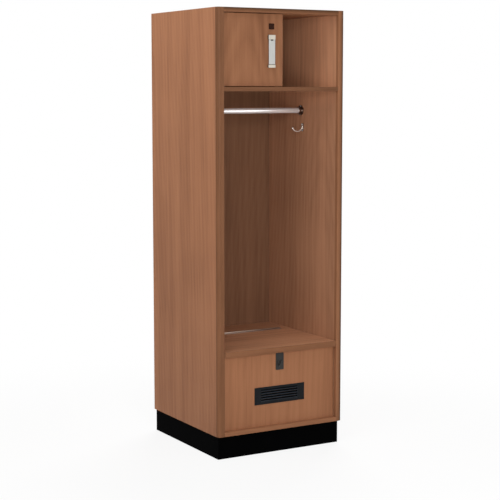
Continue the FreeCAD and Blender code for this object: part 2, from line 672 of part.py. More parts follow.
def door_pivots():
    # A pin in each end of the door turns in a flanged bush let into the board beyond the gap.
    flange = REVEAL - LOOSE_FIT
    bore = PIVOT_PIN + 2 * RUNNING_FIT
    ends = ((DOOR_TOP, TOP_UNDER, UP, "top_panel"), (DOOR_BOTTOM, SHELF_TOP, DOWN, "shelf"))
    for door_end, board_face, outward, board in ends:
        pin_start = at(PIVOT_X, PIVOT_Y, door_end) - outward * PIN_IN_DOOR
        face = at(PIVOT_X, PIVOT_Y, board_face)
        add("door_pins", round_bar(PIVOT_PIN, PIN_IN_DOOR + REVEAL + PIN_IN_BUSH, pin_start, outward))
        drill(["security_door"], round_bar(PIVOT_PIN + 2 * SNUG_FIT, PIN_IN_DOOR, pin_start, outward))
        sleeve = round_bar(BUSH_DIAMETER, BUSH_DEPTH, face, outward)
        collar = round_bar(BUSH_FLANGE, flange, face - outward * flange, outward)
        hole = round_bar(bore, BUSH_DEPTH + flange, face - outward * flange, outward)
        add("door_bushes", joined(sleeve, collar).cut(hole))
        drill([board], round_bar(BUSH_DIAMETER + 2 * SNUG_FIT, BUSH_DEPTH, face, outward))


def door_bumpers():
    for z in (DOOR_BOTTOM + BUMPER_FROM_END, DOOR_TOP - BUMPER_FROM_END):
        seat = at(DIVIDER_CENTRE, DIVIDER_FRONT, z)
        add("door_bumpers", round_bar(BUMPER_DIAMETER, STOP_GAP - LOOSE_FIT, seat, FORWARD))


def door_pull():
    half = PULL_WIDTH / 2
    bottom = PULL_Z - PULL_HEIGHT / 2
    top = PULL_Z + PULL_HEIGHT / 2
    front = PANEL_FACE - PULL_REACH
    left = PULL_X - half
    right = PULL_X + half
    bar_bottom = bottom + PULL_FOOT + PULL_GROOVE
    bar = block(left, right, front, front + PULL_BAR, bar_bottom, top)
    neck = block(left, right, front + PULL_BAR / 2, front + PULL_BAR, bottom, bar_bottom)
    top_foot = block(left, right, front, PANEL_FACE, top - PULL_FOOT, top)
    low_foot = block(left, right, front, PANEL_FACE, bottom, bottom + PULL_FOOT)
    slot_z = top - PULL_SLOT_DROP
    slot_x = (PULL_SLOT_LENGTH - PULL_SLOT_WIDTH) / 2
    slot_low = slot_z - PULL_SLOT_WIDTH / 2
    slot = joined(
        block(PULL_X - slot_x, PULL_X + slot_x, front, front + PULL_BAR,
              slot_low, slot_low + PULL_SLOT_WIDTH),
        round_bar(PULL_SLOT_WIDTH, PULL_BAR, at(PULL_X - slot_x, front, slot_z), BACKWARD),
        round_bar(PULL_SLOT_WIDTH, PULL_BAR, at(PULL_X + slot_x, front, slot_z), BACKWARD),
    )
    add("door_pull", joined(bar, neck, top_foot, low_foot).cut(slot))
    for z in (bottom + PULL_FOOT / 2, top - PULL_FOOT / 2):
        fasten("pull_screws", ["security_door", "door_pull"],
               at(PULL_X, PANEL_REAR, z), FORWARD, CASE_BOARD + PULL_SCREW_BITE)


# Hanging rod and coat hook

def hanging_rod():
    length = 2 * (INNER - FLANGE_THICKNESS - ROD_END_PLAY)
    start = at(-length / 2, ROD_Y, ROD_Z)
    add("hanging_rod", ring(ROD_DIAMETER, ROD_DIAMETER - 2 * ROD_WALL, length, start, RIGHT))
    socket = ROD_DIAMETER + 2 * ROD_FIT
    for name, sign in (("left_side_panel", -1), ("right_side_panel", 1)):
        wall = at(sign * INNER, ROD_Y, ROD_Z)
        inward = RIGHT * -sign
        disc = round_bar(FLANGE_DIAMETER, FLANGE_THICKNESS, wall, inward)
        cup = ring(socket + 2 * SOCKET_WALL, socket, SOCKET_LENGTH,
                   wall + inward * FLANGE_THICKNESS, inward)
        add("rod_flanges", joined(disc, cup))
        for rise in (-FLANGE_SCREW_RADIUS, FLANGE_SCREW_RADIUS):
            seat = wall + inward * FLANGE_THICKNESS + UP * rise
            fasten("hardware_screws", ["rod_flanges", name], seat, inward * -1, SHORT_SCREW)


def coat_hook():
    face = INNER - HOOK_BASE_THICKNESS
    half = (HOOK_BASE_HEIGHT - HOOK_BASE_WIDTH) / 2
    base = joined(
        block(face, INNER, HOOK_Y - HOOK_BASE_WIDTH / 2, HOOK_Y + HOOK_BASE_WIDTH / 2,
              HOOK_Z - half, HOOK_Z + half),
        round_bar(HOOK_BASE_WIDTH, HOOK_BASE_THICKNESS, at(face, HOOK_Y, HOOK_Z - half), RIGHT),
        round_bar(HOOK_BASE_WIDTH, HOOK_BASE_THICKNESS, at(face, HOOK_Y, HOOK_Z + half), RIGHT),
    )
    root_z = HOOK_Z + HOOK_ROOT_RISE
    root = at(INNER - HOOK_BASE_THICKNESS / 2, HOOK_Y, root_z)
    low = at(INNER - HOOK_REACH / 2, HOOK_Y, root_z - HOOK_SAG)
    tip = at(INNER - HOOK_REACH, HOOK_Y, root_z - HOOK_TIP_DROP)
    path = Part.Wire([Part.Arc(root, low, tip).toShape()])
    start_way = path.Edges[0].tangentAt(path.Edges[0].FirstParameter)
    section = Part.Wire([Part.makeCircle(HOOK_WIRE / 2, root, start_way)])
    prong = path.makePipeShell([section], True, False)
    wall = block(INNER, HALF, HOOK_Y - HOOK_BASE_WIDTH, HOOK_Y + HOOK_BASE_WIDTH, SEAT_HEIGHT, TOP)
    add("coat_hook", joined(base, prong, Part.makeSphere(HOOK_BALL / 2, tip)).cut(wall))
    for rise in (-HOOK_SCREW_RISE, HOOK_SCREW_RISE):
        fasten("hardware_screws", ["coat_hook", "right_side_panel"],
               at(face, HOOK_Y, HOOK_Z + rise), RIGHT, SHORT_SCREW)


def build():
    for name, sign in (("left", -1), ("right", 1)):
        side_panel(name, sign)
        side_lipping(name, sign)
    cross_board("top_panel", "top_edge_band", TOP_UNDER, TOP)
    cross_board("shelf", "shelf_edge_band", SHELF_UNDER, SHELF_TOP)
    cross_board("bottom_panel", "bottom_edge_band", PLINTH_HEIGHT, FLOOR_TOP)
    divider()
    back_panel()
    plinth()
    footlocker_front()
    rear_seat_strip()
    cleats()
    vent_grille()
    seat_lid()
    piano_hinge()
    seat_strike()
    security_door()
    door_pivots()
    door_bumpers()
    door_pull()
    cam_lock()
    lock_strike()
    turn_latch()
    hanging_rod()
    coat_hook()


def write():
    os.makedirs("parts", exist_ok=True)
    for node, solids in pieces.items():
        tools = cutters.get(node, [])
        finished = []
        for solid in solids:
            shaped = solid.cut(tools) if tools else solid
            finished.extend(shaped.Solids)
        shape = finished[0] if len(finished) == 1 else Part.makeCompound(finished)
        shape.exportStep("parts/" + node + ".step")


build()
write()
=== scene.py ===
import math

import bmesh
import bpy
from mathutils import Matrix, Vector
from mathutils.geometry import tessellate_polygon


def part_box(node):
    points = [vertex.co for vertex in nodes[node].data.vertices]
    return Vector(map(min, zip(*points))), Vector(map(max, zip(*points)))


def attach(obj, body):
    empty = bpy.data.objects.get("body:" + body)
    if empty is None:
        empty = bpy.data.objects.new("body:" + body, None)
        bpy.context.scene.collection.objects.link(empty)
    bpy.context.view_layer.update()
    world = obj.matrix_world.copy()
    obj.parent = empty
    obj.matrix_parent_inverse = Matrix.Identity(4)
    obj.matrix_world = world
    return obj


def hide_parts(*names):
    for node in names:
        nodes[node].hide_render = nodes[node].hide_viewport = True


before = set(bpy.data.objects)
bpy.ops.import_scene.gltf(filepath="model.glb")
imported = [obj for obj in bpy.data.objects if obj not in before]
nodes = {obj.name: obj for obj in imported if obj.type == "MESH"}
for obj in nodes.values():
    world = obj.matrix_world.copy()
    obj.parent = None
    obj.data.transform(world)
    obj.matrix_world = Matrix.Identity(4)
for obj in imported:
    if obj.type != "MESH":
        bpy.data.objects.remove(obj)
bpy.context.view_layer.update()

# Lengths are in metres, angles in degrees and colours linear, unless a name or comment says otherwise.

# Camera, fitted to the corners of the wooden body. Its lens and sensor are in millimetres.
CAMERA_PLACE = (-3.0341, -5.3015, 1.5861)
CAMERA_HEADING = 29.940
CAMERA_DIP = 6.729
CAMERA_LENS = 97.43
SENSOR_WIDTH = 36.0

# Studio
WHITE = (1.0, 1.0, 1.0, 1.0)
ROOM_FILL = 0.10
BACKDROP_LEVEL = 1.0
FLOOR_SIZE = 30.0
FLOOR_WHITE = 0.90
# How much of the floor glows white to the camera near the object and far from it, and the distances between
FLOOR_GLOW_NEAR = 0.86
FLOOR_GLOW_FAR = 1.0
FLOOR_GLOW_REACH = (0.9, 2.2)
# Each soft box: heading from the front towards the left side, rise above level, distance from the point
# aimed at, height of that point, width, height, power in watts.
SOFT_BOXES = {
    "key_low": (25.0, 8.0, 4.0, 1.0, 1.5, 2.0, 82.0),
    "key_left": (58.0, 12.0, 4.0, 1.5, 2.4, 1.8, 24.0),
    "key_high": (38.0, 58.0, 4.0, 1.0, 2.8, 1.8, 50.0),
    "side_top": (90.0, 25.0, 1.9, 1.8, 1.2, 1.2, 11.5),
    "fill_right": (-28.0, 4.0, 4.0, 1.0, 1.6, 1.8, 18.0),
    "rear": (-140.0, 28.0, 4.0, 1.0, 2.8, 1.8, 150.0),
}

# Noise: the middle of its values, and the levels that most of them lie between
NOISE_MIDDLE = 0.5
NOISE_LEVELS = (0.3, 0.7)
# Roughness of the noise in scratches and in the texture of paint
FINE_ROUGHNESS = 0.6

# Wood grain: cycles per metre across and along the board, and the detail of the noise
BLOTCH_SCALE = 3.0
WANDER_SCALE = (3.5, 1.6)
WANDER_DETAIL = 0.5
GRAIN_ROUGHNESS = 0.55
DRAWN_PATTERNS = {
    "stripe": ((16.0, 0.5), 2.0),
    "streak": ((58.0, 0.9), 3.0),
    "fibre": ((240.0, 4.0), 3.0),
    "pore": ((1100.0, 26.0), 1.0),
}
# How far one step of a board's seed moves its patterns along X, Y and Z
WOOD_SEED_STEP = (1.7, 2.3, 3.1)

# Growth rings: how many a metre from the heart, half a ring, over which its tone rises, how many a metre
# along the grain, the heart's depth behind the face, and how far the rings and the grain wander
RINGS_PER_METRE = 34.0
RING_HALF = 0.5
RING_TAPER = 4.0
HEART_DEPTH = 0.10
WANDER_RINGS = 3.2
WANDER_ASIDE = 0.03

# How strongly each pattern shows in the wood's tone
RING_SHARE = 0.16
TONE_SHARES = {"blotch": 0.30, "stripe": 0.40, "streak": 0.42, "fibre": 0.34}
PORE_SHARE = 0.30
# Where the dark, middle and light tones sit, and the noise levels at which a pore starts and is full
TONE_STOPS = (0.12, 0.5, 0.88)
PORE_LEVELS = (0.36, 0.26)

# Wood surface
WOOD_SHINE = 0.05
WOOD_DEPTH = 0.00025
WOOD_ROUGHNESS = (0.40, 0.58)
WOOD_ROUGHNESS_LEVELS = (0.3, 1.3)
PORE_DENT = 0.8
# Painted shade along a board's upper edges: how far it reaches and how dark it gets
EDGE_SHADE_REACH = 0.018
EDGE_SHADE_LEVEL = 0.50

# Worn edges: how closely a rounded normal follows the face's own, on a flat face and on an edge
FLAT_FACING = 0.995
EDGE_FACING = 0.80
BEVEL_SAMPLES = 4
WOOD_WEAR_RADIUS = 0.0018
METAL_WEAR_RADIUS = 0.0006
COAT_WEAR_RADIUS = 0.0008
WOOD_WEAR_SHARE = 0.35

# Tones of wood as they look on a screen: dark, middle and light
PANEL = ((118, 76, 52), (160, 109, 78), (182, 128, 93))
SMOOTH = ((136, 91, 64), (160, 109, 78), (172, 120, 87))
# INNER is the panel wood made less red, offsetting the reddish light bounced inside the box: painted light
INNER = ((118, 81, 59), (160, 115, 87), (182, 134, 102))
EDGE = ((100, 66, 45), (130, 88, 62), (147, 102, 74))
BARE = ((150, 116, 82), (186, 152, 114), (205, 174, 138))

# Painted light and shade on a board's left face, as gradients of its tone: axis, where each starts and ends,
# by how much it pales
# Painted light and shade: the side darkens towards the bottom and pales towards the rear; the wall pales
# towards the front and up into the cubby and darkens again at its front edge; the left lipping pales towards
# the bottom and darkens towards the top; the right lipping pales from its left face across, more so near the
# top
SIDE_PAINTED_LIGHT = (("Y", 0.05, 0.31, 0.12), ("Z", 0.90, 0.10, -0.10))
WALL_PAINTED_LIGHT = (("Y", 0.15, -0.25, 0.18), ("Z", 1.15, 1.50, 0.12), ("Z", 1.50, 1.60, 0.32),
               ("Y", -0.20, -0.31, -0.18))
LEFT_LIPPING_PAINTED_LIGHT = (("Z", 0.90, 0.20, 0.16), ("Z", 1.20, 1.90, -0.20))
RIGHT_LIPPING_PAINTED_LIGHT = (("Z", 0.0, 0.2, 0.75), ("Z", 1.30, 1.60, 0.15))

# Each board: tones, painted brightness, grain axis, axis across the face, seed, figure strength, place of the
# log's heart, the axes at whose upper end painted edge shade runs, and the painted gradients of light and
# shade on its tone.
# The painted brightness scales a board's tones to offset how much light reaches it: painted shade on the back
# panel, door, lippings and bands, painted light on the seat
BOARDS = {
    "left_side_panel": (PANEL, 1.02, "Z", "Y", 1.0, 0.45, 0.55, "", SIDE_PAINTED_LIGHT),
    "right_side_panel": (INNER, 1.02, "Z", "Y", 2.0, 0.50, -0.20, "", WALL_PAINTED_LIGHT),
    "back_panel": (INNER, 0.55, "Z", "X", 3.0, 0.40, 0.45),
    "divider": (PANEL, 1.0, "Z", "Y", 4.0, 0.60, 0.10),
    "security_door": (PANEL, 0.70, "Z", "X", 5.0, 0.85, -0.16),
    "footlocker_front": (SMOOTH, 0.85, "Z", "X", 6.0, 0.40, 0.32),
    "top_panel": (PANEL, 1.0, "X", "Y", 7.0, 0.60, 0.05),
    "shelf": (PANEL, 1.0, "X", "Y", 8.0, 0.60, -0.10),
    "bottom_panel": (PANEL, 1.0, "X", "Y", 9.0, 0.60, 0.20),
    "seat_lid": (INNER, 1.36, "X", "Y", 10.0, 0.65, -0.35),
    "rear_seat_strip": (INNER, 1.1, "X", "Y", 11.0, 0.65, -0.35),
    "left_lipping": (EDGE, 0.75, "Z", "X", 12.0, 0.30, 0.40, "", LEFT_LIPPING_PAINTED_LIGHT),
    "right_lipping": (EDGE, 0.66, "Z", "X", 33.0, 0.30, -0.40, "X", RIGHT_LIPPING_PAINTED_LIGHT),
    "top_edge_band": (EDGE, 0.93, "X", "Z", 14.0, 0.30, 0.0, "Z"),
    "shelf_edge_band": (EDGE, 0.67, "X", "Z", 15.0, 0.30, 0.0),
    "bottom_edge_band": (PANEL, 0.68, "X", "Z", 16.0, 0.30, 0.0),
    "seat_edge_band": (EDGE, 0.92, "X", "Z", 17.0, 0.30, 0.0),
    "upper_back_rail": (BARE, 1.0, "X", "Z", 18.0, 0.8, 1.70),
    "lower_back_rail": (BARE, 1.0, "X", "Z", 19.0, 0.8, 0.30),
    "left_upright_cleat": (BARE, 1.0, "Z", "X", 20.0, 0.6, 0.0),
    "right_upright_cleat": (BARE, 1.0, "Z", "X", 21.0, 0.6, 0.0),
    "left_seat_cleat": (BARE, 1.0, "Y", "X", 22.0, 0.6, 0.0),
    "right_seat_cleat": (BARE, 1.0, "Y", "X", 23.0, 0.6, 0.0),
    "rear_seat_cleat": (BARE, 1.0, "X", "Y", 24.0, 0.6, 0.0),
    "carcass_dowels": (BARE, 1.0, "X", "Y", 25.0, 0.6, 0.0),
}

# Metal: scratches in cycles per metre across and along the brushing, and duller clouds
BRUSH_SCALE = (900.0, 8.0)
BRUSH_DETAIL = 3.0
BRUSH_DEPTH = 0.00004
METAL_CLOUD_SCALE = 18.0
METAL_SEED_STEP = (1.0, 0.7, 1.3)
METAL_DULL = (0.82, 0.82, 0.82, 1.0)
METAL_DULL_LEVELS = (0.62, 0.38)
METAL_SMOOTHEST = 0.7
METAL_ROUGHEST = 1.3
# Each metal: colour, roughness, axis of the brushing, seed, and how bare the metal is
METALS = {
    "polished_rod": ((0.95, 0.94, 0.94, 1.0), 0.20, "X", 0.0, 0.5),
    "polished_hook": ((0.78, 0.70, 0.64, 1.0), 0.20, "X", 1.0, 0.5),
    "dark_nickel": ((0.24, 0.19, 0.165, 1.0), 0.30, "Z", 2.0, 1.0),
    "satin_aluminium": ((0.44, 0.44, 0.425, 1.0), 0.45, "Z", 3.0, 0.30),
    "warm_nickel_caps": ((0.50, 0.455, 0.385, 1.0), 0.42, "X", 4.0, 0.30),
    "nickel_steel": ((0.46, 0.37, 0.31, 1.0), 0.36, "X", 5.0, 1.0),
    "zinc_screws": ((0.56, 0.56, 0.57, 1.0), 0.36, "Z", 7.0, 1.0),
}

# Paint and plastic: texture and clouds in cycles per metre
COAT_SCALE = 1400.0
COAT_DEPTH = 0.00006
COAT_CLOUD_SCALE = 14.0
COAT_CLOUD_DETAIL = 3.0
COAT_DARKER = (0.7, 0.7, 0.7, 1.0)
COAT_DARK_LEVELS = (0.65, 0.35)
COAT_RUB_LEVELS = (0.35, 0.65)
COAT_RUB_SHARES = (0.3, 0.9)
COAT_ROUGHNESS_SWING = 0.06
# Each coat: colour, roughness, colour where it is rubbed, and shine
COATS = {
    "lock_black": ((0.026, 0.0075, 0.003, 1.0), 0.45, (0.06, 0.035, 0.025, 1.0), 0.07),
    "latch_grey": ((0.025, 0.023, 0.021, 1.0), 0.42, (0.10, 0.095, 0.09, 1.0), 0.20),
    "vent_black": ((0.0105, 0.0115, 0.013, 1.0), 0.50, (0.018, 0.02, 0.024, 1.0), 0.06),
    "plinth_black": ((0.0008, 0.0008, 0.0009, 1.0), 0.75, (0.004, 0.004, 0.0045, 1.0), 0.01),
    "bush_nylon": ((0.10, 0.062, 0.042, 1.0), 0.45, (0.16, 0.11, 0.08, 1.0), 0.20),
    "bumper_rubber": ((0.012, 0.012, 0.012, 1.0), 0.75, (0.03, 0.03, 0.03, 1.0), 0.25),
    # Dark feet of the pull, dark partly as painted shade under the grip, in its groove and behind its slot
    "pull_feet_and_painted_shade": ((0.05, 0.045, 0.042, 1.0), 0.6, (0.08, 0.075, 0.07, 1.0), 0.1),
}

# Where the finish changes on the vent and the hook, back from the front or the wall, and to which colour, and
# the depth behind the slats' front over which painted shade darkens them to black
CHANGE_BLEND = 0.0006
SLAT_SETBACK = 0.0008
SLAT_SHADE_DEPTH = 0.0060
SLAT_COLOUR = (0.060, 0.066, 0.078, 1.0)
HOOK_BASE = 0.0032
HOOK_BASE_COLOUR = (0.20, 0.15, 0.12, 1.0)
BLACK = (0.0, 0.0, 0.0, 1.0)

# The nodes that take each finish
FINISHED_NODES = {
    "polished_rod": ["hanging_rod"],
    "polished_hook": ["coat_hook"],
    "dark_nickel": ["rod_flanges"],
    "nickel_steel": ["hinge_fixed_leaf", "hinge_moving_leaf", "hinge_pin", "door_pins", "seat_strike",
                     "lock_strike", "lock_cam", "latch_cam", "lock_nut", "latch_nut"],
    "zinc_screws": ["lock_cam_screw", "latch_cam_screw"],
    "lock_black": ["lock_body", "lock_cylinder"],
    "latch_grey": ["latch_plate", "latch_knob"],
    "vent_black": ["vent_grille"],
    "plinth_black": ["plinth_front", "plinth_back", "plinth_left", "plinth_right"],
    "bush_nylon": ["door_bushes"],
    "bumper_rubber": ["door_bumpers"],
}

# Edges: those sharper than the eased angle are rounded. The face weight runs from 1 to 100.
WELD_REACH = 0.00001
FLAT_ANGLE = 0.5
FACE_WEIGHT = 100
EASED_ANGLE = 40.0
EASE_SEGMENTS = 2
BOARD_EASE = 0.0008
PLATE_EASE = 0.0005
EASED_PLATES = ["lock_body", "latch_plate", "vent_grille", *FINISHED_NODES["plinth_black"]]

# Screws
SCREW_BODIES = {
    "back_screws": "carcass",
    "plinth_screws": "carcass",
    "cleat_screws": "carcass",
    "hardware_screws": "carcass",
    "seat_screws": "seat",
    "pull_screws": "door",
}
SCREW_SIDES = 24
SCREW_TURN_RADIANS = 2.4
SCREW_HEAD_DEPTH = 0.002
SCREW_RIM_DEPTH = 0.0002
SCREW_POINT = 0.004
# Shares of the head's radius, and of the shank's for the tip
SCREW_TOP = 0.90
SCREW_RIM = 0.95
SCREW_TIP = 0.25
RECESS_REACH = 0.55
RECESS_HALF_WIDTH = 0.15
RECESS_TAPER = 0.55
RECESS_DEPTH = 0.0012

# Door pull
PULL_CAP = 0.019
PULL_FOOT_CAP = 0.0125
PULL_WAIST = 0.0012
PULL_STEP = 0.0008
PULL_BAR = 0.004
PULL_GROOVE = 0.002
PULL_GROOVE_DEPTH = 0.0015
PULL_SLOT = 0.014
PULL_SLOT_WIDTH = 0.005
PULL_LAP = 0.002
PULL_EASE = 0.0007
PULL_EASE_SEGMENTS = 3


def screen(colour):
    """The linear colour of three screen values from 0 to 255."""
    parts = [value / 255 for value in colour]
    linear = [p / 12.92 if p <= 0.04045 else ((p + 0.055) / 1.055) ** 2.4 for p in parts]
    return (*linear, 1.0)


# A colour scaled by a painted brightness, painted light or shade
def shaded(colour, painted_brightness):
    return (*(channel * painted_brightness for channel in colour[:3]), 1.0)


# Node trees

class NodeTree:
    """A cleared node tree, with short calls for its nodes."""

    def __init__(self, tree):
        self.tree = tree
        self.tree.nodes.clear()

    def node(self, kind, **settings):
        made = self.tree.nodes.new(kind)
        for name, value in settings.items():
            setattr(made, name, value)
        return made

    def feed(self, socket, value):
        if isinstance(value, bpy.types.NodeSocket):
            self.tree.links.new(value, socket)
        else:
            socket.default_value = value

    def maths(self, operation, first, second=0.0):
        made = self.node("ShaderNodeMath", operation=operation)
        self.feed(made.inputs[0], first)
        self.feed(made.inputs[1], second)
        return made.outputs[0]

    def spread(self, value, low, high, to_low=0.0, to_high=1.0, curve="LINEAR"):
        """The value, with the levels low and high moved to two new ones."""
        made = self.node("ShaderNodeMapRange", interpolation_type=curve)
        self.feed(made.inputs["Value"], value)
        made.inputs["From Min"].default_value = low
        made.inputs["From Max"].default_value = high
        made.inputs["To Min"].default_value = to_low
        made.inputs["To Max"].default_value = to_high
        return made.outputs["Result"]


class Shader(NodeTree):
    """A principled material, with short calls for the patterns that feed it."""

    def __init__(self, name, uniform):
        self.material = bpy.data.materials.new(name)
        self.material.use_nodes = True
        super().__init__(self.material.node_tree)
        output = self.node("ShaderNodeOutputMaterial")
        self.surface = self.node("ShaderNodeBsdfPrincipled")
        self.feed(output.inputs["Surface"], self.surface.outputs["BSDF"])
        self.position = self.node("ShaderNodeTexCoord").outputs["Object"]
        for socket, value in uniform.items():
            self.surface.inputs[socket].default_value = value

    def paint(self, socket, value):
        self.feed(self.surface.inputs[socket], value)

    def along(self, axis):
        """The place along one axis."""
        made = self.node("ShaderNodeSeparateXYZ")
        self.feed(made.inputs["Vector"], self.position)
        return made.outputs[axis]

    def stretched(self, scale, offset=(0.0, 0.0, 0.0), place=None):
        made = self.node("ShaderNodeMapping")
        self.feed(made.inputs["Vector"], place or self.position)
        made.inputs["Location"].default_value = offset
        made.inputs["Scale"].default_value = scale
        return made.outputs["Vector"]

    def noise(self, vector, detail=2.0, roughness=0.5):
        made = self.node("ShaderNodeTexNoise")
        self.feed(made.inputs["Vector"], vector)
        made.inputs["Scale"].default_value = 1.0
        made.inputs["Detail"].default_value = detail
        made.inputs["Roughness"].default_value = roughness
        return made.outputs["Fac"]

    def ramp(self, value, stops):
        made = self.node("ShaderNodeValToRGB")
        elements = made.color_ramp.elements
        while len(elements) < len(stops):
            elements.new(0.5)
        for element, (place, colour) in zip(elements, stops):
            element.position = place
            element.color = colour
        self.feed(made.inputs["Fac"], value)
        return made.outputs["Color"]

    def mixed(self, factor, first, second, blend="MIX"):
        made = self.node("ShaderNodeMix", data_type="RGBA", blend_type=blend)
        self.feed(made.inputs["Factor"], factor)
        self.feed(made.inputs["A"], first)
        self.feed(made.inputs["B"], second)
        return made.outputs["Result"]

    def worn_edges(self, radius):
        """Near 0 on a flat face and near 1 on a sharp edge."""
        rounded = self.node("ShaderNodeBevel", samples=BEVEL_SAMPLES)
        rounded.inputs["Radius"].default_value = radius
        facing = self.node("ShaderNodeVectorMath", operation="DOT_PRODUCT")
        self.feed(facing.inputs[0], rounded.outputs["Normal"])
        self.feed(facing.inputs[1], self.node("ShaderNodeNewGeometry").outputs["Normal"])
        return self.spread(facing.outputs["Value"], FLAT_FACING, EDGE_FACING)

    def changed_beyond(self, colour, change):
        """The colour, or another one beyond a level along an axis."""
        if change is None:
            return colour
        axis, level, other = change
        return self.mixed(self.spread(self.along(axis), level, level + CHANGE_BLEND), colour, other)

    def with_painted_recess_shade(self, colour, fade):
        """The colour, fading to black from one level along Y to another: painted shade deeper in a recess."""
        if fade is None:
            return colour
        return self.mixed(self.spread(self.along("Y"), *fade), colour, BLACK)

    def bump(self, height, depth):
        made = self.node("ShaderNodeBump")
        made.inputs["Distance"].default_value = depth
        self.feed(made.inputs["Height"], height)
        self.paint("Normal", made.outputs["Normal"])


# Materials

def along_axis(axis, across, along):
    """Scales for a pattern that is drawn out along one axis."""
    return tuple(along if name == axis else across for name in "XYZ")


def swaying_place(shader, across, wander):
    """The place on the board, pushed aside a little so that the grain isn't ruler straight."""
    push = shader.node("ShaderNodeCombineXYZ")
    swing = shader.maths("SUBTRACT", wander, NOISE_MIDDLE)
    shader.feed(push.inputs[across], shader.maths("MULTIPLY", swing, WANDER_ASIDE))
    moved = shader.node("ShaderNodeVectorMath", operation="ADD")
    shader.feed(moved.inputs[0], shader.position)
    shader.feed(moved.inputs[1], push.outputs["Vector"])
    return moved.outputs["Vector"]


def growth_rings(shader, grain, across, wander, heart):
    """Bands that arch where the cut runs close to the heart of the log."""
    aside = shader.maths("SUBTRACT", shader.along(across), heart)
    squared = shader.maths("MULTIPLY", aside, aside)
    from_heart = shader.maths("SQRT", shader.maths("ADD", squared, HEART_DEPTH ** 2))
    rings = shader.maths("MULTIPLY", from_heart, RINGS_PER_METRE)
    rings = shader.maths("ADD", rings, shader.maths("MULTIPLY", shader.along(grain), RING_TAPER))
    rings = shader.maths("ADD", rings, shader.maths("MULTIPLY", wander, WANDER_RINGS))
    return shader.spread(shader.maths("PINGPONG", rings, RING_HALF), 0.0, RING_HALF)


def grain_patterns(shader, grain, across, seed, heart):
    """The patterns of straight-grained wood by name, each from 0 to 1."""
    offset = tuple(seed * step for step in WOOD_SEED_STEP)
    wander = shader.noise(shader.stretched(along_axis(grain, *WANDER_SCALE), offset), WANDER_DETAIL)
    place = swaying_place(shader, across, wander)
    patterns = {
        "rings": growth_rings(shader, grain, across, wander, heart),
        "blotch": shader.noise(shader.stretched((BLOTCH_SCALE,) * 3, offset)),
    }
    for name, (scale, detail) in DRAWN_PATTERNS.items():
        drawn = shader.stretched(along_axis(grain, *scale), offset, place)
        patterns[name] = shader.noise(drawn, detail, GRAIN_ROUGHNESS)
    return patterns


def grain_tone(shader, patterns, figure):
    """The wood's tone, which its patterns move up and down from the middle."""
    tone = NOISE_MIDDLE
    for name, share in {"rings": RING_SHARE * figure, **TONE_SHARES}.items():
        swing = shader.maths("SUBTRACT", patterns[name], NOISE_MIDDLE)
        tone = shader.maths("ADD", tone, shader.maths("MULTIPLY", swing, share))
    return tone


def with_painted_gradients(shader, colour, low, high, painted_gradients):
    """The colour with its painted gradients of light and shade, full on the board's left face and gone at its
    right face.
    """
    for axis, start, end, gain in painted_gradients:
        leftward = shader.spread(shader.along("X"), high.x, low.x)
        painted_gradient = shader.spread(shader.along(axis), start, end, 0.0, gain)
        lift = shader.maths("MULTIPLY", painted_gradient, leftward)
        colour = shader.mixed(1.0, colour, shader.maths("ADD", lift, 1.0), "MULTIPLY")
    return colour


def with_painted_edge_shade(shader, colour, high, axes, dark):
    """The colour, going over to a darker one at the board's upper end along some axes: painted shade along
    those edges.
    """
    for axis in axes:
        level = high["XYZ".index(axis)]
        near = shader.spread(shader.along(axis), level - EDGE_SHADE_REACH, level)
        colour = shader.mixed(near, colour, shaded(dark, EDGE_SHADE_LEVEL))
    return colour


def wood(board, tones, painted_brightness, grain, across, seed, figure, heart, painted_edge_axes="", painted_gradients=()):
    """Straight-grained wood with a faint figure, painted light and shade, painted shade along the upper edges
    named, and worn on its edges.
    """
    shader = Shader("wood_" + board, {"Specular IOR Level": WOOD_SHINE})
    patterns = grain_patterns(shader, grain, across, seed, heart)
    # The tones scaled by the board's painted brightness, painted light or shade
    dark, middle, light = (shaded(screen(colour), painted_brightness) for colour in tones)
    tone = grain_tone(shader, patterns, figure)
    colour = shader.ramp(tone, list(zip(TONE_STOPS, (dark, middle, light))))
    dash = shader.spread(patterns["pore"], *PORE_LEVELS)
    colour = shader.mixed(shader.maths("MULTIPLY", dash, PORE_SHARE), colour, dark)
    low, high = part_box(board)
    # Painted light and shade: gradients that pale or darken the board's tone
    colour = with_painted_gradients(shader, colour, low, high, painted_gradients)
    patches = shader.spread(patterns["blotch"], *NOISE_LEVELS)
    wear = shader.maths("MULTIPLY", shader.worn_edges(WOOD_WEAR_RADIUS), patches)
    colour = shader.mixed(shader.maths("MULTIPLY", wear, WOOD_WEAR_SHARE), colour, light)
    # Painted shade along the upper edges named
    shader.paint("Base Color", with_painted_edge_shade(shader, colour, high, painted_edge_axes, dark))
    fibre = patterns["fibre"]
    coarse = shader.maths("ADD", fibre, dash)
    shader.paint("Roughness", shader.spread(coarse, *WOOD_ROUGHNESS_LEVELS, *WOOD_ROUGHNESS))
    shader.bump(shader.maths("SUBTRACT", fibre, shader.maths("MULTIPLY", dash, PORE_DENT)), WOOD_DEPTH)
    return shader.material


